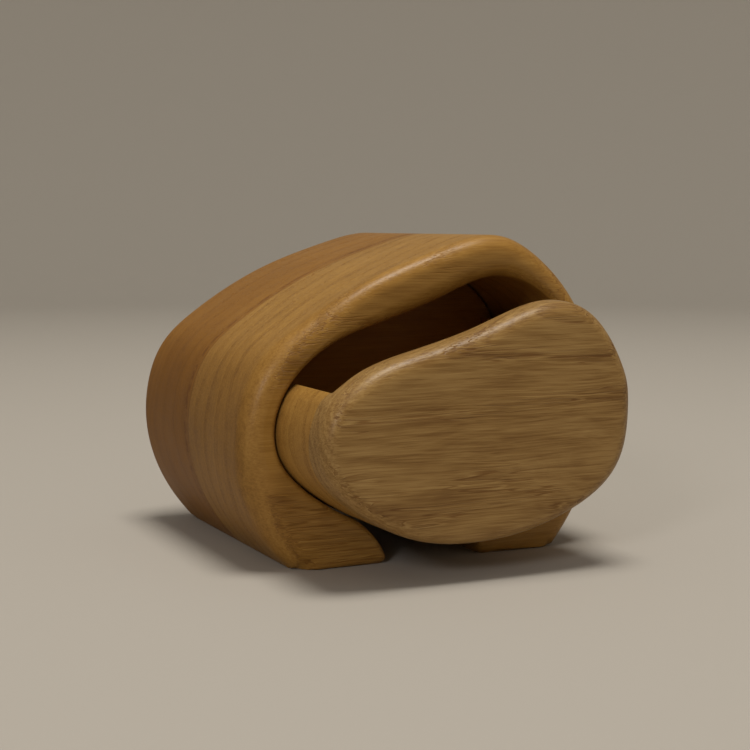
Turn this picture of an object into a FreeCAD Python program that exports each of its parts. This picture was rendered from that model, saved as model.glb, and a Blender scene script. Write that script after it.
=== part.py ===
import FreeCAD, Part
import math
import os

import Sketcher
from FreeCAD import Vector

# A sculpted bandsaw box: one block, glued up from two thick boards, is sawn to a free-form
# outline, sliced, hollowed and glued together again. What is left over is a case that stands
# on two feet and a drawer that slides in it. +X is to the right, +Y to the back and +Z up.
# The origin is under the middle of the object as it stands with its drawer part open.

NOMINAL_WIDTH = 130.0
NOMINAL_HEIGHT = 108.0

DRIVING_SIZES = {
    "box_width": NOMINAL_WIDTH,
    "box_height": NOMINAL_HEIGHT,
    "middle_offset": 1.1,
    "front_board_depth": 54.5,
    "rear_board_depth": 46.5,
    "back_panel_depth": 10.0,
    "drawer_front_depth": 12.0,
    "drawer_rear_depth": 34.0,
    "drawer_back_depth": 9.5,
    "drawer_wall": 8.5,
    "saw_gap": 0.6,
    "drawer_open": 37.5,
    "case_front_round": 4.5,
    "case_back_round": 7.0,
    "mouth_round": 3.0,
    "drawer_edge_round": 5.0,
}

# Control points, in X and Z, of the smooth curves that the saw follows. The case outline runs
# from the left foot's corner up over the top and down to the right foot's corner.
CASE_OUTLINE = [
    (-47, 0), (-67, 20), (-67, 61), (-48, 77), (-20, 94.5), (8, 104),
    (33, 112.5), (60, 87), (68, 62), (69, 22), (50, 0),
]
# The loop that frees the drawer's block, clockwise from the lower left.
DRAWER_LOOP = [
    (-36, 20), (-56, 36), (-53, 58), (-36, 74), (-16, 79.2), (6, 86), (26, 96.5),
    (44, 91), (56, 76), (58, 51), (54.8, 28.4), (28.8, 15.4), (8, 10.7), (-18, 11.3),
]
# The wave along the top of the drawer's front and sides, from left to right.
DRAWER_WAVE = [
    (-62, 50), (-49, 58), (-39, 68), (-19, 73), (3, 79), (22, 88), (39, 88), (51, 75), (56.5, 61), (60, 50),
]
# The left foot's toe, where the saw came in: from the drawer's bed down to the ground.
TOE_SLOPE = [(-29.5, 17.9), (-21, 13), (-15, 6), (-14.5, 0)]
RIGHT_FOOT_INSIDE = 19.0
GAP_TOP_RIGHT = 15.0
# The mouth's rim stays above this height, and the feet's edges reach below it.
MOUTH_CLEARS_GROUND = 5.0
# The lowest points of the loop that the hollow of the drawer follows, by their place in it.
HOLLOW_RIGHT = 8
HOLLOW_LEFT = 2


def make_sheet(doc):
    """Keep each driving size in a cell of its own, under its own name."""
    sheet = doc.addObject("Spreadsheet::Sheet", "sizes")
    for row, (name, value) in enumerate(DRIVING_SIZES.items(), start=1):
        sheet.set(f"A{row}", name)
        sheet.set(f"B{row}", str(value))
        sheet.setAlias(f"B{row}", name)
    return sheet


def front_plane(body):
    """The upright plane of a body's own origin that faces the front."""
    return next(item for item in body.Origin.OriginFeatures if item.Role == "XZ_Plane")


def new_body(doc, name, front_distance):
    """A body whose front face stands front_distance, an expression, behind the case's front."""
    body = doc.addObject("PartDesign::Body", name)
    body.Label = name
    body.setExpression("Placement.Base.x", "-sizes.middle_offset")
    half_length = "(sizes.front_board_depth + sizes.rear_board_depth + sizes.back_panel_depth"
    half_length += " + sizes.drawer_open) / 2"
    case_front = f"sizes.drawer_open - {half_length}"
    body.setExpression("Placement.Base.y", f"{case_front} + {front_distance}")
    return body


def new_sketch(body, name):
    """A sketch on the body's front plane, where sketch X is X and sketch Y is Z."""
    sketch = body.newObject("Sketcher::SketchObject", name)
    sketch.AttachmentSupport = [(front_plane(body), "")]
    sketch.MapMode = "FlatFace"
    return sketch


def inward_normals(points):
    """For a clockwise closed outline, the unit vector at each point that leads inwards."""
    normals = []
    for index in range(len(points)):
        before = points[index - 1]
        after = points[(index + 1) % len(points)]
        run = (after[0] - before[0], after[1] - before[1])
        length = math.hypot(*run)
        normals.append((run[1] / length, -run[0] / length))
    return normals


def bind_point(sketch, geometry, vertex, point, normal, inset):
    """Tie a point to the sheet: its share of the width and height, moved in by the inset."""
    shares = (
        ("DistanceX", point[0], normal[0], f"{point[0] / NOMINAL_WIDTH:.6f} * sizes.box_width"),
        ("DistanceY", point[1], normal[1], f"{point[1] / NOMINAL_HEIGHT:.6f} * sizes.box_height"),
    )
    for kind, value, slant, expression in shares:
        if inset:
            expression += f" + {slant:.6f} * ({inset})"
        number = sketch.addConstraint(Sketcher.Constraint(kind, -1, 1, geometry, vertex, float(value)))
        sketch.setExpression(f"Constraints[{number}]", expression)


def add_curve(sketch, points, closed=False, normals=None, inset=""):
    """A smooth cubic curve with bound control points. Returns its place in the sketch."""
    first_circle = sketch.GeometryCount
    for x, z in points:
        sketch.addGeometry(Part.Circle(Vector(x, z, 0), Vector(0, 0, 1), 1), True)
    sketch.addConstraint(Sketcher.Constraint("Weight", first_circle, 1.0))
    for circle in range(first_circle + 1, first_circle + len(points)):
        sketch.addConstraint(Sketcher.Constraint("Equal", first_circle, circle))
    poles = [Vector(x, z, 0) for x, z in points]
    curve = sketch.addGeometry(Part.BSplineCurve(poles, None, None, closed, 3, None, False), False)
    centre = 3
    for index, point in enumerate(points):
        circle = first_circle + index
        sketch.addConstraint(Sketcher.Constraint(
            "InternalAlignment:Sketcher::BSplineControlPoint", circle, centre, curve, index))
        normal = normals[index] if normals else (0, 0)
        bind_point(sketch, circle, centre, point, normal, inset)
    return curve


def close_with_lines(sketch, curve, corners):
    """Close an open curve with straight lines, from its end through the corners to its start."""
    start, end = 1, 2
    stops = [sketch.getPoint(curve, end), *[Vector(x, z, 0) for x, z in corners],
             sketch.getPoint(curve, start)]
    last_piece = curve
    for here, there in zip(stops, stops[1:]):
        line = sketch.addGeometry(Part.LineSegment(here, there), False)
        sketch.addConstraint(Sketcher.Constraint("Coincident", last_piece, end, line, start))
        last_piece = line
    sketch.addConstraint(Sketcher.Constraint("Coincident", last_piece, end, curve, start))
    first_line = last_piece - len(corners)
    for index, corner in enumerate(corners):
        bind_point(sketch, first_line + index, end, corner, (0, 0), "")


def pad(body, sketch, depth):
    """Push the sketch's face backwards by depth, an expression."""
    feature = body.newObject("PartDesign::Pad", f"{sketch.Name}_pad")
    feature.Profile = sketch
    feature.setExpression("Length", depth)
    feature.Reversed = True
    body.Document.recompute()
    return feature


def saw_through(body, sketch):
    """Saw the sketch's face out of the whole body, and check that wood was removed."""
    volume_before = body.Tip.Shape.Volume
    feature = body.newObject("PartDesign::Pocket", f"{sketch.Name}_cut")
    feature.Profile = sketch
    feature.Type = 1
    feature.Midplane = True
    body.Document.recompute()
    if not feature.Shape.Volume < volume_before - 1:
        raise RuntimeError(f"{feature.Label} removed no wood")
    return feature


def round_edges(body, name, radius, wanted):
    """Round the edges that wanted picks from the body's tip."""
    tip = body.Tip
    edges = [f"Edge{number}" for number, edge in enumerate(tip.Shape.Edges, start=1) if wanted(edge)]
    if not edges:
        raise RuntimeError(f"{name} found no edge")
    feature = body.newObject("PartDesign::Fillet", name)
    feature.Base = (tip, edges)
    feature.setExpression("Radius", radius)
    body.Document.recompute()
    return feature


def lies_at(edge, depth):
    """Whether an edge lies wholly in the plane at this depth of its own body."""
    box = edge.BoundBox
    return abs(box.YMin - depth) < 1e-4 and abs(box.YMax - depth) < 1e-4


def is_curved(edge):
    return not isinstance(edge.Curve, Part.Line)


def is_off_the_ground(edge):
    return edge.BoundBox.ZMin > MOUTH_CLEARS_GROUND


def case_slice(doc, name, front_distance, depth):
    """One slice of the case with its outer outline, standing flat on the ground."""
    body = new_body(doc, name, front_distance)
    sketch = new_sketch(body, f"{name}_outline")
    curve = add_curve(sketch, CASE_OUTLINE)
    close_with_lines(sketch, curve, [])
    pad(body, sketch, depth)
    return body


def saw_drawer_block_out(body):
    sketch = new_sketch(body, f"{body.Name}_loop")
    add_curve(sketch, DRAWER_LOOP, closed=True)
    saw_through(body, sketch)


def saw_feet_apart(body):
    """The gap between the feet: the toe's slope on the left and a plain end on the right."""
    sketch = new_sketch(body, f"{body.Name}_gap")
    curve = add_curve(sketch, TOE_SLOPE)
    close_with_lines(sketch, curve, [(RIGHT_FOOT_INSIDE, 0), (RIGHT_FOOT_INSIDE, GAP_TOP_RIGHT)])
    saw_through(body, sketch)


def make_case(doc):
    front = case_slice(doc, "case_front_ring", "0", "sizes.front_board_depth")
    round_edges(front, "case_front_edge", "sizes.case_front_round",
                lambda edge: lies_at(edge, 0) and is_curved(edge))
    saw_drawer_block_out(front)
    saw_feet_apart(front)
    round_edges(front, "case_mouth_edge", "sizes.mouth_round",
                lambda edge: lies_at(edge, 0) and is_curved(edge) and is_off_the_ground(edge))

    rear = case_slice(doc, "case_rear_ring", "sizes.front_board_depth", "sizes.rear_board_depth")
    saw_drawer_block_out(rear)
    saw_feet_apart(rear)

    back = case_slice(doc, "case_back_panel", "sizes.front_board_depth + sizes.rear_board_depth",
                      "sizes.back_panel_depth")
    panel_depth = DRIVING_SIZES["back_panel_depth"]
    round_edges(back, "case_back_edge", "sizes.case_back_round",
                lambda edge: lies_at(edge, panel_depth) and is_curved(edge))
    saw_feet_apart(back)
    return [front, rear, back]


def drawer_slice(doc, name, distance_into_drawer, depth):
    """One slice of the drawer's block, a saw gap smaller all round than the loop."""
    body = new_body(doc, name, f"{distance_into_drawer} - sizes.drawer_open")
    sketch = new_sketch(body, f"{name}_outline")
    add_curve(sketch, DRAWER_LOOP, closed=True, normals=inward_normals(DRAWER_LOOP),
              inset="sizes.saw_gap")
    pad(body, sketch, depth)
    return body


def saw_wave(body):
    """Take off the wood above the wave, which leaves room for a finger over the drawer."""
    sketch = new_sketch(body, f"{body.Name}_wave")
    curve = add_curve(sketch, DRAWER_WAVE)
    right, left = DRAWER_WAVE[-1][0] + 8, DRAWER_WAVE[0][0] - 2
    over_the_top = NOMINAL_HEIGHT
    close_with_lines(sketch, curve, [(right, DRAWER_WAVE[-1][1]), (right, over_the_top),
                                     (left, over_the_top)])
    saw_through(body, sketch)


def saw_hollow(body):
    """The compartment: a wall's thickness inside the loop, and open at the top."""
    sketch = new_sketch(body, f"{body.Name}_hollow")
    normals = inward_normals(DRAWER_LOOP)
    count = len(DRAWER_LOOP)
    along = [index % count for index in range(HOLLOW_RIGHT, HOLLOW_LEFT + count + 1)]
    points = [DRAWER_LOOP[index] for index in along]
    inward = [normals[index] for index in along]
    over_the_top = NOMINAL_HEIGHT
    points = [(points[0][0], over_the_top), *points, (points[-1][0], over_the_top)]
    inward = [(inward[0][0], 0), *inward, (inward[-1][0], 0)]
    curve = add_curve(sketch, points, normals=inward, inset="sizes.drawer_wall + sizes.saw_gap")
    close_with_lines(sketch, curve, [])
    saw_through(body, sketch)


def make_drawer(doc):
    front = drawer_slice(doc, "drawer_front", "0", "sizes.drawer_front_depth")
    saw_wave(front)
    round_edges(front, "drawer_front_edge", "sizes.drawer_edge_round", lambda edge: lies_at(edge, 0))

    into_board = "sizes.drawer_front_depth"
    rest_of_board = "sizes.front_board_depth - sizes.drawer_front_depth"
    trough_front = drawer_slice(doc, "drawer_trough_front", into_board, rest_of_board)
    trough_rear = drawer_slice(doc, "drawer_trough_rear", "sizes.front_board_depth",
                               "sizes.drawer_rear_depth")
    for trough in (trough_front, trough_rear):
        saw_wave(trough)
        saw_hollow(trough)

    back = drawer_slice(doc, "drawer_back", "sizes.front_board_depth + sizes.drawer_rear_depth",
                        "sizes.drawer_back_depth")
    return [front, trough_front, trough_rear, back]


def check_and_export(doc, pieces):
    """Stop on any failed feature or bad solid, then write one STEP file for each piece."""
    failed = [item.Label for item in doc.Objects if {"Invalid", "Error"} & set(item.State)]
    if failed:
        raise RuntimeError(f"failed features: {failed}")
    for piece in pieces:
        shape = piece.Shape
        if shape.isNull() or not shape.isValid() or len(shape.Solids) != 1:
            raise RuntimeError(f"{piece.Label} is not one sound solid")
    os.makedirs("parts", exist_ok=True)
    for piece in pieces:
        box = piece.Shape.optimalBoundingBox(False, False)
        piece.Shape.exportStep(f"parts/{piece.Label}.step")
        print(f"{piece.Label}: {piece.Shape.Volume / 1000:.1f} cm3,"
              f" X {box.XMin:.2f} to {box.XMax:.2f}, Y {box.YMin:.2f} to {box.YMax:.2f},"
              f" Z {box.ZMin:.2f} to {box.ZMax:.2f}")


def main():
    doc = FreeCAD.newDocument("bandsaw_box")
    make_sheet(doc)
    doc.recompute()
    pieces = make_case(doc) + make_drawer(doc)
    doc.recompute()
    check_and_export(doc, pieces)


main()
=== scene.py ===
import math

import bmesh
import bpy
import numpy as np
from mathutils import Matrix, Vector


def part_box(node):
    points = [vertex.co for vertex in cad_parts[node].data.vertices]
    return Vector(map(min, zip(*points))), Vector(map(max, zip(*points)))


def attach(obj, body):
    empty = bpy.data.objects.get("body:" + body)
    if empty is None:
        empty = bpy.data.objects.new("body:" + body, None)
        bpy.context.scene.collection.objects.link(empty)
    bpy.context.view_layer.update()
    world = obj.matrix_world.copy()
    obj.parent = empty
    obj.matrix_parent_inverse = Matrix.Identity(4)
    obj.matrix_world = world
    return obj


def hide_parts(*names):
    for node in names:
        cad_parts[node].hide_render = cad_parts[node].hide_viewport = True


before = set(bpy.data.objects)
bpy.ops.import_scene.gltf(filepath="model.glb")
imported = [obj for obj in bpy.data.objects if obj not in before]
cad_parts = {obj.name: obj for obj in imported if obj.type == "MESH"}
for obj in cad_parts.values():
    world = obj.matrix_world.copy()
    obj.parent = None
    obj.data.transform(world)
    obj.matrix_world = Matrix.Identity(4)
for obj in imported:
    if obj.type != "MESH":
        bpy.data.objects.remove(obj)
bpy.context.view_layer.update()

# A sculpted bandsaw box with one drawer. Outlines are X and Z in millimetres, and every slice of
# the block runs from one Y to another, as in the CAD model whose nodes these pieces stand for.

MM = 0.001
MIDDLE_OFFSET = 1.1
SAW_GAP = 0.6
DRAWER_WALL = 8.5
OVER_THE_TOP = 108.0

CASE_OUTLINE = [
    (-47, 0), (-67, 20), (-67, 61), (-48, 77), (-20, 94.5), (8, 104),
    (33, 112.5), (60, 87), (68, 62), (69, 22), (50, 0),
]
# The same outline at the back of the case, which was sanded a little fuller on the left slope.
CASE_OUTLINE_BACK = [
    (-47, 0), (-66.5, 21), (-67, 61), (-48.7, 77.7), (-20.7, 95.2), (7.3, 104.2),
    (33, 112), (60, 87), (68, 62), (69, 22), (50, 0),
]
DRAWER_LOOP = [
    (-36, 20), (-56, 36), (-53, 58), (-36, 74), (-16, 79.2), (6, 86), (26, 96.5),
    (44, 91), (56, 76), (58, 51), (54.8, 28.4), (28.8, 15.4), (8, 10.7), (-18, 11.3),
]
DRAWER_WAVE = [
    (-62, 50), (-49, 58), (-39, 68), (-19, 73), (3, 79),
    (22, 88), (39, 88), (51, 75), (56.5, 61), (60, 50),
]
TOE_SLOPE = [(-29.5, 17.9), (-21, 13), (-15, 6), (-14.5, 0)]
RIGHT_FOOT_INSIDE = 19.0
GAP_TOP_RIGHT = 15.0
# The hollow follows the drawer's loop from this control point round the bottom to that one.
HOLLOW_RIGHT = 8
HOLLOW_LEFT = 2

LOOP_POINTS = 2400


# ---------------------------------------------------------------- curves

def spline(poles, closed=False, count=LOOP_POINTS):
    """Points along the cubic curve with these control points and even knots."""
    poles = np.array(poles, float)
    if closed:
        knots = np.arange(-3.0, len(poles) + 4.0)
        at = np.linspace(0, len(poles), count, endpoint=False)
        poles = np.vstack([poles, poles[:3]])
    else:
        knots = np.concatenate([[0.0] * 3, np.linspace(0, 1, len(poles) - 2), [1.0] * 3])
        at = np.linspace(0, 1 - 1e-9, count)
    at = at[:, None]
    share = ((knots[:-1] <= at) & (at < knots[1:])).astype(float)
    for degree in (1, 2, 3):
        rise = knots[degree:-1] - knots[:-degree - 1]
        fall = knots[degree + 1:] - knots[1:-degree]
        up = (at - knots[:-degree - 1]) / np.where(rise > 0, rise, 1) * (rise > 0)
        down = (knots[degree + 1:] - at) / np.where(fall > 0, fall, 1) * (fall > 0)
        share = up * share[:, :-1] + down * share[:, 1:]
    return share @ poles


def inward_normals(points):
    """For a clockwise closed outline, the unit vector at each point that leads inwards."""
    points = np.array(points, float)
    run = np.roll(points, -1, axis=0) - np.roll(points, 1, axis=0)
    run /= np.linalg.norm(run, axis=1)[:, None]
    return np.stack([run[:, 1], -run[:, 0]], axis=1)


def crossings(path, other):
    """Where path crosses other, as places along path: a point's index and the share after it."""
    start, run = path[:-1, None], (path[1:] - path[:-1])[:, None]
    origin, reach = other[None, :-1], (other[1:] - other[:-1])[None]
    apart = origin - start
    turn = run[..., 0] * reach[..., 1] - run[..., 1] * reach[..., 0]
    turn = np.where(np.abs(turn) < 1e-12, 1e-12, turn)
    t = (apart[..., 0] * reach[..., 1] - apart[..., 1] * reach[..., 0]) / turn
    u = (apart[..., 0] * run[..., 1] - apart[..., 1] * run[..., 0]) / turn
    hit = (t >= 0) & (t < 1) & (u >= 0) & (u < 1)
    return [index + t[index, k] for index, k in zip(*np.nonzero(hit))]


def part_of(path, begin, end):
    """The stretch of a path between two places on it."""
    index = np.arange(len(path))
    inside = path[(index > begin) & (index < end)]
    ends = [[np.interp(place, index, path[:, axis]) for axis in (0, 1)] for place in (begin, end)]
    return np.vstack([ends[0], inside, ends[1]])


def lengths(path):
    return np.concatenate([[0], np.cumsum(np.linalg.norm(np.diff(path, axis=0), axis=1))])


def along(path, shares):
    """The points at these shares of a path's length."""
    length = lengths(path)
    return np.stack([np.interp(shares * length[-1], length, path[:, axis]) for axis in (0, 1)], axis=1)


def share_near(path, point):
    """The share of a path's length at which it passes nearest to a point."""
    length = lengths(path)
    return length[np.linalg.norm(path - np.array(point), axis=1).argmin()] / length[-1]


def smoothed(values, reach):
    """Values evened out over their neighbours, with the ends kept."""
    window = np.hanning(2 * reach + 3)[1:-1]
    before = 2 * values[0] - values[reach:0:-1]
    after = 2 * values[-1] - values[-2:-reach - 2:-1]
    return np.convolve(np.concatenate([before, values, after]), window / window.sum(), "valid")


def smooth_step(value, low, high):
    share = np.clip((value - low) / (high - low), 0, 1)
    return share * share * (3 - 2 * share)


def distance_to(points, path):
    """How far each point is from a path."""
    start, run = path[:-1], path[1:] - path[:-1]
    square = np.maximum((run ** 2).sum(1), 1e-12)
    found = []
    for chunk in np.array_split(points, max(1, len(points) // 800)):
        offset = chunk[:, None] - start[None]
        share = np.clip((offset * run).sum(2) / square, 0, 1)
        gap = offset - share[..., None] * run
        found.append(np.sqrt((gap ** 2).sum(2).min(1)))
    return np.concatenate(found)


def rounded(distance, radius):
    """How far a round-over lies below the face at this distance from the edge."""
    radius = np.maximum(radius, 1e-6)
    short = np.clip(radius - distance, 0, radius)
    return radius - np.sqrt(radius ** 2 - short ** 2)


# ---------------------------------------------------------------- meshes

def mesh_piece(name, sections, closed=False):
    """A mesh from cross-sections, an array of stations by points by three, joined in turn.
    Open rows of stations get flat ends, and closed ones join up and merge at their middles."""
    stations, around = sections.shape[:2]
    vertices = sections.reshape(-1, 3).copy()
    vertices[:, 0] -= MIDDLE_OFFSET
    index = np.arange(stations * around).reshape(stations, around)
    if closed:
        index[:, 0], index[:, -1] = index[0, 0], index[0, -1]
    following = np.roll(index, -1, axis=0) if closed else index[1:]
    here = index if closed else index[:-1]
    faces = []
    for k in range(around - 1 if closed else around):
        n = (k + 1) % around
        for a, b, c, d in zip(here[:, k], here[:, n], following[:, n], following[:, k]):
            corners = list(dict.fromkeys((int(a), int(b), int(c), int(d))))
            if len(corners) > 2:
                faces.append(corners)
    if not closed:
        faces.append([int(v) for v in index[0]][::-1])
        faces.append([int(v) for v in index[-1]])
    used = sorted({corner for face in faces for corner in face})
    renumber = {old: new for new, old in enumerate(used)}
    mesh = bpy.data.meshes.new(name)
    faces = [[renumber[corner] for corner in face] for face in faces]
    mesh.from_pydata((vertices[used] * MM).tolist(), [], faces)
    mesh.validate()
    mesh.shade_smooth()
    mesh.set_sharp_from_angle(angle=math.radians(40))
    piece = bpy.data.objects.new(name, mesh)
    bpy.context.scene.collection.objects.link(piece)
    return piece


def turn_outwards(piece):
    """Make every face look out of the piece, and split its flat ends into triangles."""
    work = bmesh.new()
    work.from_mesh(piece.data)
    bmesh.ops.triangulate(work, faces=[face for face in work.faces if len(face.verts) > 4])
    bmesh.ops.recalc_face_normals(work, faces=work.faces)
    if work.calc_volume(signed=True) < 0:
        bmesh.ops.reverse_faces(work, faces=work.faces)
    work.to_mesh(piece.data)
    work.free()


ROUND_STEPS = 9
FLAT_STEPS = 7
SIDE_STEPS = 16
DISC_STEPS = 12
DISC_EDGE_STEPS = 8
CROWN_REACH = 26


def face_shares(outer_round, inner_round, width):
    """Shares of the way across a wall, close together where its edges round over."""
    bend = 1 - np.cos(np.linspace(0, math.pi / 2, ROUND_STEPS + 1))
    fit = np.minimum(1, 0.98 * width / np.maximum(outer_round + inner_round, 1e-6))
    outer_part = (outer_round * fit / width)[:, None] * bend
    inner_part = 1 - (inner_round * fit / width)[:, None] * bend[::-1]
    middle = np.linspace(0, 1, FLAT_STEPS + 1)[1:-1]
    flat = outer_part[:, -1:] + (inner_part[:, :1] - outer_part[:, -1:]) * middle
    return np.hstack([
        outer_part if outer_round.max() > 0 else outer_part[:, :1],
        flat,
        inner_part if inner_round.max() > 0 else inner_part[:, -1:],
    ])


def wall_piece(name, outer_at, inner_at, front, back, front_rounds, back_rounds, end_round):
    """A piece that is a wall between two paths, pushed from Y front to back.
    outer_at and inner_at give a path's stations at a depth. Rounds are pairs of radii, outer
    and inner, one for each station, or None where the face is glued to the next slice."""
    stations = len(outer_at(front))
    nothing = np.zeros(stations)

    def ends_drawn_in(depth):
        outer, inner = outer_at(depth), inner_at(depth)
        run = lengths((outer + inner) / 2)
        inset = np.maximum(rounded(run, end_round), rounded(run[-1] - run, end_round))
        across = inner - outer
        width = np.linalg.norm(across, axis=1)[:, None]
        step = across / width * inset[:, None]
        return outer + step, inner - step, inset

    def face(depth, into, rounds):
        outer, inner, inset = ends_drawn_in(depth)
        width = np.linalg.norm(inner - outer, axis=1)
        outer_round, inner_round = rounds or (nothing, nothing)
        shares = face_shares(outer_round, inner_round, width)
        points = outer[:, None] + (inner - outer)[:, None] * shares[..., None]
        sunk = np.zeros(shares.shape)
        if rounds:
            for path, radius in ((outer, outer_round), (inner, inner_round)):
                far = distance_to(points.reshape(-1, 2), path).reshape(shares.shape)
                sunk += rounded(far, radius[:, None])
            sunk += inset[:, None]
        return np.stack([points[..., 0], depth + into * sunk, points[..., 1]], axis=2)

    def side(which, begin, end):
        rows = []
        for share in np.linspace(0, 1, SIDE_STEPS + 1)[1:-1]:
            depth = begin + (end - begin) * share
            path = ends_drawn_in(float(np.median(depth)))[which]
            rows.append(np.stack([path[:, 0], depth, path[:, 1]], axis=1))
        return np.stack(rows, axis=1)

    front_face = face(front, 1, front_rounds)
    back_face = face(back, -1, back_rounds)
    sections = np.concatenate([
        front_face,
        side(1, front_face[:, -1, 1], back_face[:, -1, 1]),
        back_face[:, ::-1],
        side(0, back_face[:, 0, 1], front_face[:, 0, 1]),
    ], axis=1)
    piece = mesh_piece(name, sections)
    turn_outwards(piece)
    return piece


def disc_piece(name, outline_at, centre, front, back, front_round, back_round, crown):
    """A solid slice whose face narrows evenly to its centre, with a round-over for each station
    at both faces and a front that is slightly crowned."""
    bend = 1 - np.cos(np.linspace(0, math.pi / 2, ROUND_STEPS + 1))
    centre = np.array(centre)

    def face(depth, into, radius, rise):
        outline = outline_at(depth)
        away = centre - outline
        reach = np.linalg.norm(away, axis=1)
        edge = (radius / reach)[:, None] * bend
        rest = np.linspace(0, 1, DISC_STEPS + 1)[1:]
        shares = np.hstack([edge, edge[:, -1:] + (1 - edge[:, -1:]) * rest])
        points = outline[:, None] + away[:, None] * shares[..., None]
        loop = np.vstack([outline, outline[:1]])
        far = distance_to(points.reshape(-1, 2), loop).reshape(shares.shape)
        crowned = rise * (1 - np.minimum(far / CROWN_REACH, 1)) ** 2
        sunk = rounded(far, radius[:, None]) + crowned
        return np.stack([points[..., 0], depth + into * sunk, points[..., 1]], axis=2)

    front_face = face(front, 1, front_round, crown)
    back_face = face(back, -1, back_round, 0)
    rows = []
    for share in np.linspace(0, 1, DISC_EDGE_STEPS + 1)[1:-1]:
        depth = front_face[:, 0, 1] + (back_face[:, 0, 1] - front_face[:, 0, 1]) * share
        path = outline_at(float(np.median(depth)))
        rows.append(np.stack([path[:, 0], depth, path[:, 1]], axis=1))
    sections = np.concatenate([front_face[:, ::-1], np.stack(rows, axis=1), back_face], axis=1)
    piece = mesh_piece(name, sections, closed=True)
    turn_outwards(piece)
    return piece


# ---------------------------------------------------------------- the case

def node_depths(node):
    low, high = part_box(node)
    return low.y / MM, high.y / MM


case_front, board_joint = node_depths("case_front_ring")
panel_joint, case_back = node_depths("case_back_panel")

STATIONS = 420
END_STEPS = 6
STATION_SMOOTHING = 25
FOOT_EDGE_ROUND = 1.6


def station_shares(length, end_round):
    """Shares along a path: even, with more of them where its two ends round over."""
    even = np.linspace(end_round, length - end_round, STATIONS)
    bend = end_round * (1 - np.cos(np.linspace(0, math.pi / 2, END_STEPS + 1)[:-1]))
    return np.concatenate([bend, even, length - bend[::-1]]) / length


def matched(anchors, shares):
    """Where on a path each station lands, so that rungs to the outer outline don't lean. An
    anchor is a share of the outer outline and the share of the path that faces it."""
    outer_places, own_places = zip(*anchors)
    places = smoothed(np.interp(shares, outer_places, own_places), STATION_SMOOTHING)
    places[0], places[-1] = 0, 1
    return places


loop = spline(DRAWER_LOOP, closed=True)
loop = np.vstack([loop, loop[:1]])
toe = spline(TOE_SLOPE, count=300)
FOOT_LINE_TOP = 40.0
BELOW_THE_DRAWER = 30
right_foot = np.array([(RIGHT_FOOT_INSIDE, 0.0), (RIGHT_FOOT_INSIDE, FOOT_LINE_TOP)])

# The loop twice round, so that a stretch of it can run past its own start.
loop_twice = np.vstack([loop[:-1], loop])
toe_place = next(place for place in crossings(loop_twice, toe) if place > LOOP_POINTS / 2)
foot_place = next(place for place in crossings(loop_twice, right_foot)
                  if place > toe_place and loop_twice[int(place), 1] < BELOW_THE_DRAWER)
toe_top = crossings(toe, loop)
toe_rise = part_of(toe, toe_top[0] if toe_top else 0, len(toe) - 1)[::-1]
mouth_path = np.vstack([
    toe_rise,
    part_of(loop_twice, toe_place, foot_place)[1:],
    [(RIGHT_FOOT_INSIDE, 0.0)],
])
outline_front, outline_back = spline(CASE_OUTLINE), spline(CASE_OUTLINE_BACK)
case_shares = station_shares(lengths(outline_front)[-1], FOOT_EDGE_ROUND)

# Pairs of places, on the outer outline and on the mouth, that face each other across the wall.
RUNGS = [
    ((-47, 0), (-14.5, 0)), ((-55, 8), (-27, 16.2)), ((-62, 20), (-47, 28)), ((-65, 42), (-54, 46)),
    ((-60, 65), (-50, 62)), ((-44, 78), (-39, 71)), ((-20, 92), (-16, 80)), ((5, 102), (8, 88)),
    ((28, 107.5), (27, 97)), ((50, 96), (43, 90)), ((62, 78), (53, 73)), ((66, 50), (56, 52)),
    ((66, 26), (53, 32)), ((60, 10), (40, 20)), ((55, 4), (24, 15.5)), ((50, 0), (19, 0)),
]
mouth_anchors = [(share_near(outline_front, a), share_near(mouth_path, b)) for a, b in RUNGS]
mouth = along(mouth_path, matched(mouth_anchors, case_shares))

fronts, backs = along(outline_front, case_shares), along(outline_back, case_shares)


FULLER_FROM = 10


def case_outer(depth):
    return fronts + (backs - fronts) * smooth_step(depth, case_front + FULLER_FROM, panel_joint)


def case_mouth(depth):
    return mouth


def near(points, spot, reach):
    """1 at a spot on a path, falling smoothly to 0 at its reach."""
    return 1 - smooth_step(np.linalg.norm(points - np.array(spot), axis=1), 0, reach)


# Hand sanding rounds the mouth more towards its top, and the outer edge more on the left and
# round the crest. Both rounds have to fit on the wall.
MOUTH_ROUND, MOUTH_TOP_GAIN, LEAST_ROUND = 1.9, 4.4, 1.0
OUTER_ROUND, LEFT_GAIN, CREST_GAIN = 5.2, 3.6, 1.5
CREST, CREST_REACH = (38, 104), 38
BACK_ROUND, BACK_INNER_ROUND = 6.6, 1.8

wall = distance_to(mouth, fronts)
height_share = smooth_step(mouth[:, 1] + 0.25 * mouth[:, 0], 58, 88)
left_share = 1 - smooth_step(fronts[:, 0], -62, -18)
outer_round = OUTER_ROUND + CREST_GAIN * near(fronts, CREST, CREST_REACH) + LEFT_GAIN * left_share
outer_round = np.minimum(outer_round, 0.62 * wall + 0.4)
mouth_round = np.minimum(MOUTH_ROUND + MOUTH_TOP_GAIN * height_share, wall - outer_round - 0.2)
mouth_round = np.maximum(mouth_round, LEAST_ROUND)

case_front_ring = wall_piece(
    "case_front_ring_wood", case_outer, case_mouth, case_front, board_joint,
    (outer_round, mouth_round), None, FOOT_EDGE_ROUND)
case_rear_ring = wall_piece(
    "case_rear_ring_wood", case_outer, case_mouth, board_joint, panel_joint, None, None,
    FOOT_EDGE_ROUND)

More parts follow.
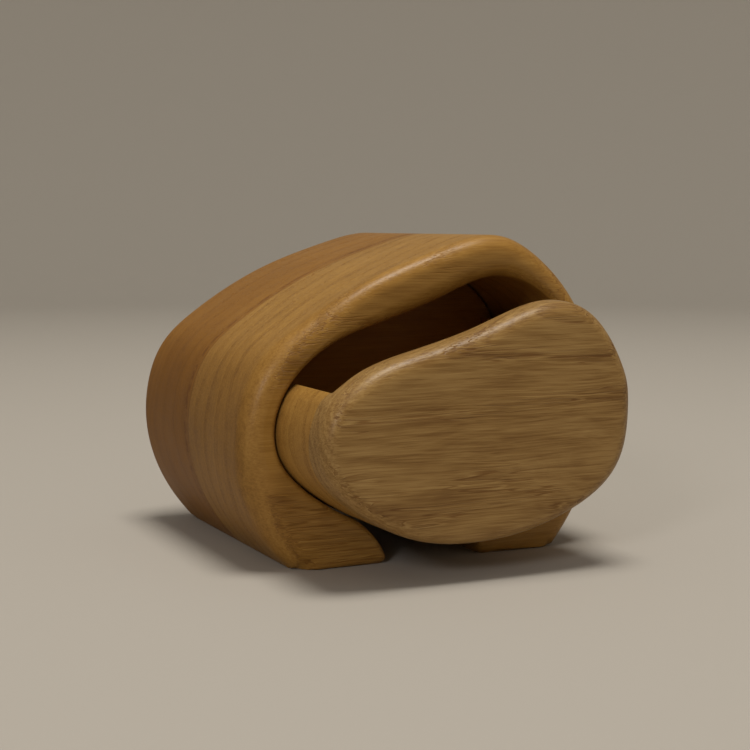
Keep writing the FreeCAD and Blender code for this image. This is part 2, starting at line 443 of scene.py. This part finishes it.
# The back panel has no mouth: its inner path is the gap between the feet.
arch_path = np.vstack([toe[::-1], [(RIGHT_FOOT_INSIDE, GAP_TOP_RIGHT), (RIGHT_FOOT_INSIDE, 0.0)]])
ARCH_RUNGS = [
    ((-47, 0), (-14.5, 0)), ((-62, 20), (-17, 9)), ((-62, 60), (-29, 17.4)), ((35, 106), (19, 15)),
    ((65, 20), (19, 8)), ((50, 0), (19, 0)),
]
arch_anchors = [(share_near(outline_front, a), share_near(arch_path, b)) for a, b in ARCH_RUNGS]
arch = along(arch_path, matched(arch_anchors, case_shares))
case_back_panel = wall_piece(
    "case_back_panel_wood", case_outer, lambda depth: arch, panel_joint, case_back,
    None, [np.full(len(case_shares), radius) for radius in (BACK_ROUND, BACK_INNER_ROUND)],
    FOOT_EDGE_ROUND)

# ---------------------------------------------------------------- the drawer

drawer_front_face, face_joint = node_depths("drawer_front")
drawer_board_joint = node_depths("drawer_trough_front")[1]
drawer_back_joint, drawer_end = node_depths("drawer_back")

normals = inward_normals(DRAWER_LOOP)
drawer_loop = spline(np.array(DRAWER_LOOP) + normals * SAW_GAP, closed=True)
drawer_twice = np.vstack([drawer_loop, drawer_loop, drawer_loop[:1]])
wave = spline(DRAWER_WAVE)
poles = np.array(DRAWER_LOOP, float)
hollow_index = np.arange(HOLLOW_RIGHT, HOLLOW_LEFT + len(poles) + 1) % len(poles)
inset = DRAWER_WALL + SAW_GAP
hollow_poles = poles[hollow_index] + normals[hollow_index] * inset
hollow_poles = np.vstack([
    (hollow_poles[0, 0], OVER_THE_TOP), hollow_poles, (hollow_poles[-1, 0], OVER_THE_TOP)])
hollow = spline(hollow_poles)

# Clockwise from the wave's right end round the bottom to its left end.
FIRST_PLACE, LAST_PLACE = 1000, 4300
wave_places = [place for place in crossings(drawer_twice, wave)
               if FIRST_PLACE < place < LAST_PLACE]
right_place = next(place for place in wave_places if drawer_twice[int(place), 0] > 0)
left_place = next(place for place in wave_places
                  if place > right_place and drawer_twice[int(place), 0] < 0)
shell = part_of(drawer_twice, right_place, left_place)
hollow_places = crossings(hollow, wave)
hollow_path = part_of(hollow, hollow_places[0], hollow_places[-1])
left_on_wave, right_on_wave = min(crossings(wave, drawer_twice)), max(crossings(wave, drawer_twice))
wave_path = part_of(wave, left_on_wave, right_on_wave)

RIM_ROUND = 1.6
trough_shares = station_shares(lengths(shell)[-1], RIM_ROUND)
shell_at, hollow_at = along(shell, trough_shares), along(hollow_path, trough_shares)


def trough(name, front, back):
    """A slice of the drawer's trough, glued at both faces."""
    return wall_piece(name, lambda depth: shell_at, lambda depth: hollow_at, front, back,
                      None, None, RIM_ROUND)


trough_front = trough("drawer_trough_front_wood", face_joint, drawer_board_joint)
trough_rear = trough("drawer_trough_rear_wood", drawer_board_joint, drawer_back_joint)

FACE_STATIONS = 460
FACE_MIDDLE, BACK_MIDDLE = (5.0, 47.0), (5.0, 50.0)
FACE_ROUND, FACE_CROWN, GLUED_ROUND = 5.2, 0.7, 0.03
FACE_RIM_ROUND, BACK_RIM_ROUND, END_ROUND = 1.9, 1.4, 1.5
face_outline = np.vstack([shell, wave_path[1:-1], shell[:1]])
face_shares_even = np.linspace(0, 1, FACE_STATIONS, endpoint=False)
face_exact = along(face_outline, face_shares_even)


def eased(points, reach, rounds):
    """A closed outline with its corners eased over this many neighbours."""
    window = np.hanning(2 * reach + 3)[1:-1]
    window /= window.sum()
    for _ in range(rounds):
        wrapped = np.vstack([points[-reach:], points, points[:reach]])
        points = np.stack([np.convolve(wrapped[:, k], window, "valid") for k in (0, 1)], axis=1)
    return points


face_soft = eased(face_exact, reach=9, rounds=2)


def drawer_face(depth):
    """The face's outline: eased at its front, and exact where it meets the trough."""
    exact_share = smooth_step(depth, drawer_front_face + 4, face_joint - 1)
    return face_soft + (face_exact - face_soft) * exact_share


def clear_of_trough(outline):
    """1 where an outline is away from the trough's outside, 0 where it is glued to it."""
    return smooth_step(distance_to(outline, shell_at), 0.5, 4)


over_hollow = (face_exact[:, 0] > hollow_at[-1, 0] - 1) & (face_exact[:, 0] < hollow_at[0, 0] + 1)
drawer_front = disc_piece(
    "drawer_front_wood", drawer_face, FACE_MIDDLE, drawer_front_face, face_joint,
    np.full(FACE_STATIONS, FACE_ROUND),
    GLUED_ROUND + FACE_RIM_ROUND * clear_of_trough(face_exact) * over_hollow, FACE_CROWN)

back_outline = along(np.vstack([drawer_loop, drawer_loop[:1]]), face_shares_even)
drawer_back = disc_piece(
    "drawer_back_wood", lambda depth: back_outline, BACK_MIDDLE, drawer_back_joint, drawer_end,
    GLUED_ROUND + BACK_RIM_ROUND * clear_of_trough(back_outline),
    np.full(FACE_STATIONS, END_ROUND), 0)

# ---------------------------------------------------------------- wood

class Graph:
    """Shader nodes, written as calls that return sockets."""

    def __init__(self, material):
        self.nodes, self.links = material.node_tree.nodes, material.node_tree.links

    def add(self, kind, inputs, output=0, **settings):
        node = self.nodes.new(kind)
        for key, value in settings.items():
            setattr(node, key, value)
        for key, value in inputs.items():
            if isinstance(value, bpy.types.NodeSocket):
                self.links.new(value, node.inputs[key])
            else:
                node.inputs[key].default_value = value
        return node.outputs[output]

    def maths(self, operation, *values, clamp=False):
        return self.add("ShaderNodeMath", dict(enumerate(values)), operation=operation,
                        use_clamp=clamp)

    def vector(self, operation, *values, output=0):
        return self.add("ShaderNodeVectorMath", dict(enumerate(values)), output,
                        operation=operation)

    def step(self, value, low, high, low_value=0.0, high_value=1.0):
        return self.add("ShaderNodeMapRange", {
            "Value": value, "From Min": low, "From Max": high,
            "To Min": low_value, "To Max": high_value,
        }, interpolation_type="SMOOTHSTEP")

    def noise(self, point, stretch, detail=2.0, roughness=0.5, output="Fac"):
        """Noise whose cells measure one over the stretch, along each axis, in millimetres."""
        return self.add("ShaderNodeTexNoise", {
            "Vector": self.vector("MULTIPLY", point, stretch), "Scale": 1.0, "Detail": detail,
            "Roughness": roughness,
        }, output)

    def cells(self, point, stretch):
        """How far each place is from the middle of its cell."""
        return self.add("ShaderNodeTexVoronoi", {
            "Vector": self.vector("MULTIPLY", point, stretch), "Scale": 1.0,
        }, "Distance")

    def tint(self, share, colour, by):
        """A colour multiplied by another, as far as the share says."""
        return self.add("ShaderNodeMix", {0: share, 6: colour, 7: (*by, 1)}, 2,
                        data_type="RGBA", blend_type="MULTIPLY")


FRONT_BOARD_DEPTH = 54.5
VEIN_OFFSET = 3.6
PORE_TINT = (0.50, 0.32, 0.16)
SEAM_TINT = (0.50, 0.36, 0.24)
# The end grain's deeper colour: oil soak, with painted shade on the sides that face along X.
END_GRAIN_AND_SIDE_SHADE_TINT = (0.64, 0.58, 0.44)
# Each board: the pith's depth and height in the block, the width of a ring, a shift that gives
# the board noise of its own, how strong its figure and its vein are, and its colours from dark
# to light.
BOARDS = {
    "pale_board": {
        "pith": (170.0, 38.0), "ring": 9.0, "shift": (0.0, 0.0, 0.0), "figure": 0.70,
        "vein": 0.0,
        "colours": [(0.190, 0.086, 0.015), (0.335, 0.168, 0.032), (0.460, 0.256, 0.062)],
    },
    "dark_board": {
        "pith": (-150.0, 44.0), "ring": 11.0, "shift": (310.0, 40.0, 90.0), "figure": 0.50,
        "vein": 0.65,
        "colours": [(0.150, 0.057, 0.007), (0.272, 0.117, 0.014), (0.365, 0.174, 0.028)],
    },
    "drawer_face": {
        "pith": (150.0, 6.0), "ring": 6.5, "shift": (0.0, 0.0, 0.0), "figure": 1.0,
        "vein": 0.0,
        "colours": [(0.150, 0.066, 0.015), (0.272, 0.150, 0.042), (0.400, 0.246, 0.085)],
    },
}


def wood(name, board, block_front, soak_and_side_shade):
    """Oiled ring-porous wood with its grain along X. Its pattern is laid out in the block's own
    millimetres, from the block's front face, so that it travels with the piece. The soak and side
    shade is how much deeper in colour the end grain is: partly oil soaked into it, partly painted
    shade on the sides that face along X."""
    material = bpy.data.materials.new(name)
    material.use_nodes = True
    g = Graph(material)
    shader = g.nodes["Principled BSDF"]
    placed = g.add("ShaderNodeTexCoord", {}, "Object")
    point = g.vector("MULTIPLY", placed, (1000.0, 1000.0, 1000.0))
    point = g.vector("ADD", point, (0.0, -block_front, 0.0))
    own = g.vector("ADD", point, board["shift"])
    figure = board["figure"]

    facing = g.add("ShaderNodeNewGeometry", {}, "Normal")
    across = g.maths("ABSOLUTE", g.add("ShaderNodeSeparateXYZ", {"Vector": facing}, "X"))
    end_grain = g.step(across, 0.45, 1.0)
    long_grain = g.maths("SUBTRACT", 1.0, end_grain)

    # Growth rings round a pith that runs along X, bent by slow and by quick variation.
    slow = g.noise(own, (0.009, 0.022, 0.022), 1.0, 0.5, "Color")
    slow = g.vector("MULTIPLY", g.vector("SUBTRACT", slow, (0.5, 0.5, 0.5)), (0.0, 18.0, 18.0))
    quick = g.noise(own, (0.022, 0.12, 0.12), 2.0, 0.5, "Color")
    quick = g.vector("MULTIPLY", g.vector("SUBTRACT", quick, (0.5, 0.5, 0.5)), (0.0, 2.6, 2.6))
    bent = g.vector("ADD", point, g.vector("ADD", slow, quick))
    arm = g.vector("SUBTRACT", bent, (0.0, *board["pith"]))
    arm = g.vector("MULTIPLY", arm, (0.0, 1.0, 1.0))
    radius = g.vector("LENGTH", arm, output="Value")
    years = g.maths("DIVIDE", radius, board["ring"])
    year = g.maths("FLOOR", years)
    season = g.maths("SUBTRACT", years, year)
    kind = g.add("ShaderNodeTexWhiteNoise", {"W": year}, "Value", noise_dimensions="1D")
    early = g.maths("ADD", g.step(season, 0.90, 1.0), g.step(season, 0.03, 0.42, 1.0, 0.0),
                    clamp=True)
    early = g.maths("MULTIPLY", early, g.maths("MULTIPLY_ADD", kind, 0.75, 0.35))

    # Streaks that follow the fibres, and finer ones that follow the layers of growth.
    waver = g.noise(own, (0.018, 0.06, 0.06), 1.0, 0.5, "Color")
    waver = g.vector("MULTIPLY", g.vector("SUBTRACT", waver, (0.5, 0.5, 0.5)), (0.0, 3.2, 3.2))
    fibre_point = g.vector("ADD", own, waver)
    fine = g.noise(fibre_point, (0.036, 1.6, 1.6), 2.0, 0.75)
    streak = g.noise(fibre_point, (0.022, 0.34, 0.34), 2.0, 0.6)
    cloud = g.noise(own, (0.020, 0.045, 0.030), 2.0, 0.5)
    along_grain = g.maths("MULTIPLY", g.add("ShaderNodeSeparateXYZ", {"Vector": own}, "X"), 0.030)
    layer_point = g.add("ShaderNodeCombineXYZ", {
        "X": along_grain, "Y": g.maths("MULTIPLY", radius, 0.85)})
    layer = g.noise(layer_point, (1.0, 1.0, 1.0), 3.0, 0.6)

    # A strand of fibres opening at the surface makes a dark hairline; its light lip is painted
    # highlight.
    strand = g.noise(fibre_point, (0.022, 0.66, 0.66), 1.0, 0.4)
    strand = g.maths("SUBTRACT", strand, 0.5)
    open_wood = g.maths("MULTIPLY", g.step(early, 0.05, 0.45), long_grain)
    hairline = g.step(g.maths("ABSOLUTE", strand), 0.006, 0.030, 1.0, 0.0)
    hairline = g.maths("MULTIPLY", hairline, open_wood)
    fibre_lip_highlight = g.step(g.maths("ABSOLUTE", g.maths("SUBTRACT", strand, 0.052)), 0.006, 0.028, 1.0, 0.0)
    fibre_lip_highlight = g.maths("MULTIPLY", fibre_lip_highlight, open_wood)

    # Pores: long thin cells, more of them in the early wood.
    pores = g.step(g.cells(fibre_point, (0.075, 2.0, 2.0)), 0.16, 0.34, 1.0, 0.0)
    pores = g.maths("MULTIPLY", pores, g.maths("MULTIPLY_ADD", early, 0.75, 0.25))
    dents = g.maths("MAXIMUM", pores, g.maths("MULTIPLY", hairline, 0.85))

    # How light the wood is, from all of these, and the board's colour for it.
    light = g.maths("MULTIPLY_ADD", fine, 1.30 * figure, -0.65 * figure)
    light = g.maths("ADD", light, g.maths("MULTIPLY_ADD", streak, 0.60 * figure, -0.30 * figure))
    light = g.maths("ADD", light, g.maths("MULTIPLY_ADD", layer, 0.80 * figure, -0.40 * figure))
    light = g.maths("ADD", light, g.maths("MULTIPLY_ADD", cloud, 0.50, -0.25))
    light = g.maths("SUBTRACT", light, g.maths("MULTIPLY", early, 0.20 * figure))
    # The lip's painted highlight lightens the wood beside each hairline.
    light = g.maths("ADD", light, g.maths("MULTIPLY", fibre_lip_highlight, 0.30 * figure))
    light = g.maths("ADD", light, 0.5 + 0.10 * figure)
    ramp = g.nodes.new("ShaderNodeValToRGB")
    ramp.color_ramp.interpolation = "B_SPLINE"
    stops = ramp.color_ramp.elements
    stops[0].position, stops[1].position = 0.05, 0.95
    stops.new(0.5)
    for stop, colour in zip(stops, board["colours"]):
        stop.color = (*colour, 1)
    g.links.new(light, ramp.inputs["Fac"])
    colour = g.tint(g.maths("MULTIPLY", dents, 0.60 * figure), ramp.outputs["Color"], PORE_TINT)

    # The glue line between the boards, and a dark vein beside it in the rear board.
    depth = g.add("ShaderNodeSeparateXYZ", {"Vector": point}, "Y")
    off_seam = g.maths("ABSOLUTE", g.maths("SUBTRACT", depth, FRONT_BOARD_DEPTH))
    seam = g.step(off_seam, 0.15, 0.50, 1.0, 0.0)
    vein = g.maths("SUBTRACT", depth, FRONT_BOARD_DEPTH + VEIN_OFFSET)
    vein = g.maths("ADD", vein, g.maths("MULTIPLY_ADD", cloud, 5.0, -2.5))
    vein = g.step(g.maths("ABSOLUTE", vein), 0.3, 2.2, board["vein"], 0.0)
    vein = g.maths("MULTIPLY", vein, g.step(streak, 0.40, 0.60))
    marks = g.maths("MAXIMUM", g.maths("MULTIPLY", seam, 0.55), vein)
    colour = g.tint(marks, colour, SEAM_TINT)

    # End grain drinks more oil, so it is deeper in colour than the long grain, and rougher.
    # The deeper colour is also painted shade on the sides that face along X, most on the case.
    colour = g.tint(g.maths("MULTIPLY", end_grain, soak_and_side_shade), colour, END_GRAIN_AND_SIDE_SHADE_TINT)
    g.links.new(colour, shader.inputs["Base Color"])

    rough = g.maths("MULTIPLY_ADD", dents, 0.22, 0.36)
    rough = g.maths("ADD", rough, g.maths("MULTIPLY", end_grain, 0.22))
    rough = g.maths("ADD", rough, g.maths("MULTIPLY_ADD", streak, 0.10, -0.05))
    g.links.new(rough, shader.inputs["Roughness"])
    shader.inputs["IOR"].default_value = 1.45
    shader.inputs["Specular IOR Level"].default_value = 0.30

    # Dents where the pores open, raised fibres, and the slow unevenness that a hand leaves.
    hand = g.noise(point, (0.045, 0.05, 0.05), 1.0)
    height = g.maths("MULTIPLY", dents, -0.10)
    height = g.maths("ADD", height, g.maths("MULTIPLY", fine, 0.06))
    height = g.maths("ADD", height, g.maths("MULTIPLY", hand, 0.8))
    bump = g.add("ShaderNodeBump", {"Height": height, "Strength": 0.8, "Distance": MM}, "Normal")
    g.links.new(bump, shader.inputs["Normal"])
    return material


def dress(piece, node, body, slot, block_front, soak_and_side_shade):
    """Give a piece wood from the board that slot names, join it to its body, and hide the node that it
    stands for.
    """
    piece.data.materials.append(wood(f"{piece.name}_{slot}", BOARDS[slot], block_front, soak_and_side_shade))
    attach(piece, body)
    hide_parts(node)


# How much deeper the end grain is: oil soak, plus painted shade on the sides, which is why the case's
# is deeper than the drawer's.
CASE_SOAK_AND_SIDE_SHADE, DRAWER_SOAK_AND_SIDE_SHADE = 0.75, 0.15
dress(case_front_ring, "case_front_ring", "case", "pale_board", case_front, CASE_SOAK_AND_SIDE_SHADE)
dress(case_rear_ring, "case_rear_ring", "case", "dark_board", case_front, CASE_SOAK_AND_SIDE_SHADE)
dress(case_back_panel, "case_back_panel", "case", "dark_board", case_front, CASE_SOAK_AND_SIDE_SHADE)
dress(drawer_front, "drawer_front", "drawer", "drawer_face", drawer_front_face, DRAWER_SOAK_AND_SIDE_SHADE)
dress(trough_front, "drawer_trough_front", "drawer", "pale_board", drawer_front_face, DRAWER_SOAK_AND_SIDE_SHADE)
dress(trough_rear, "drawer_trough_rear", "drawer", "dark_board", drawer_front_face, DRAWER_SOAK_AND_SIDE_SHADE)
dress(drawer_back, "drawer_back", "drawer", "dark_board", drawer_front_face, DRAWER_SOAK_AND_SIDE_SHADE)

# ---------------------------------------------------------------- floor, light and camera

def plain(name, colour, roughness):
    material = bpy.data.materials.new(name)
    material.use_nodes = True
    shader = material.node_tree.nodes["Principled BSDF"]
    shader.inputs["Base Color"].default_value = (*colour, 1)
    shader.inputs["Roughness"].default_value = roughness
    return material


# One round sweep of paper: a floor that curves up into a wall, the same from every side.
FLOOR_RADIUS, BEND_RADIUS, WALL_TOP = 1.5, 0.9, 2.2
ROUND_THE_FLOOR, BEND_STEPS = 96, 16
profile = [(0.0, 0.0), (FLOOR_RADIUS, 0.0)]
for angle in np.linspace(0, math.pi / 2, BEND_STEPS + 1)[1:]:
    profile.append((FLOOR_RADIUS + BEND_RADIUS * math.sin(angle),
                    BEND_RADIUS * (1 - math.cos(angle))))
profile.append((FLOOR_RADIUS + BEND_RADIUS, WALL_TOP))
floor_vertices, floor_faces = [(0.0, 0.0, 0.0)], []
for reach, height in profile[1:]:
    for angle in np.linspace(0, 2 * math.pi, ROUND_THE_FLOOR, endpoint=False):
        floor_vertices.append((reach * math.cos(angle), reach * math.sin(angle), height))
for k in range(ROUND_THE_FLOOR):
    n = (k + 1) % ROUND_THE_FLOOR
    floor_faces.append((0, 1 + k, 1 + n))
    for ring in range(len(profile) - 2):
        inner, outer = 1 + ring * ROUND_THE_FLOOR, 1 + (ring + 1) * ROUND_THE_FLOOR
        floor_faces.append((inner + k, outer + k, outer + n, inner + n))
floor_mesh = bpy.data.meshes.new("floor")
floor_mesh.from_pydata(floor_vertices, [], floor_faces)
floor_mesh.shade_smooth()
floor = bpy.data.objects.new("floor", floor_mesh)
bpy.context.scene.collection.objects.link(floor)
floor.data.materials.append(plain("floor_pale", (0.45, 0.42, 0.375), 0.9))

world = bpy.data.worlds.new("studio")
bpy.context.scene.world = world
world.use_nodes = True
background = world.node_tree.nodes["Background"]
background.inputs["Color"].default_value = (0.95, 0.89, 0.80, 1)
background.inputs["Strength"].default_value = 0.26
bpy.context.scene.view_settings.view_transform = "Standard"

LIGHTS_AIM = Vector((0.0, 0.0, 0.05))
CAMERA_PLACE = (-0.2331, -0.4954, 0.1140)
CAMERA_VIEW = (0.4186, 0.9026, -0.1007)


def soft_light(name, place, size, power, colour):
    data = bpy.data.lights.new(name, "AREA")
    data.shape, data.size = "DISK", size
    data.energy, data.color = power, colour
    light = bpy.data.objects.new(name, data)
    light.location = place
    light.rotation_euler = (LIGHTS_AIM - Vector(place)).to_track_quat("-Z", "Y").to_euler()
    bpy.context.scene.collection.objects.link(light)


soft_light("overhead", (0.02, -0.22, 2.18), 0.9, 34.0, (1.0, 0.95, 0.87))
soft_light("window", (-1.30, -1.22, 0.90), 0.40, 6.5, (1.0, 0.98, 0.98))
soft_light("fill", (1.10, -1.70, 0.90), 1.2, 0.8, (1.0, 0.96, 0.90))

camera_data = bpy.data.cameras.new("camera")
camera_data.lens, camera_data.sensor_width = 50, 24
camera_data.clip_start, camera_data.clip_end = 0.02, 60
camera = bpy.data.objects.new("camera", camera_data)
camera.location = CAMERA_PLACE
camera.rotation_euler = Vector(CAMERA_VIEW).to_track_quat("-Z", "Y").to_euler()
bpy.context.scene.collection.objects.link(camera)
bpy.context.scene.camera = camera
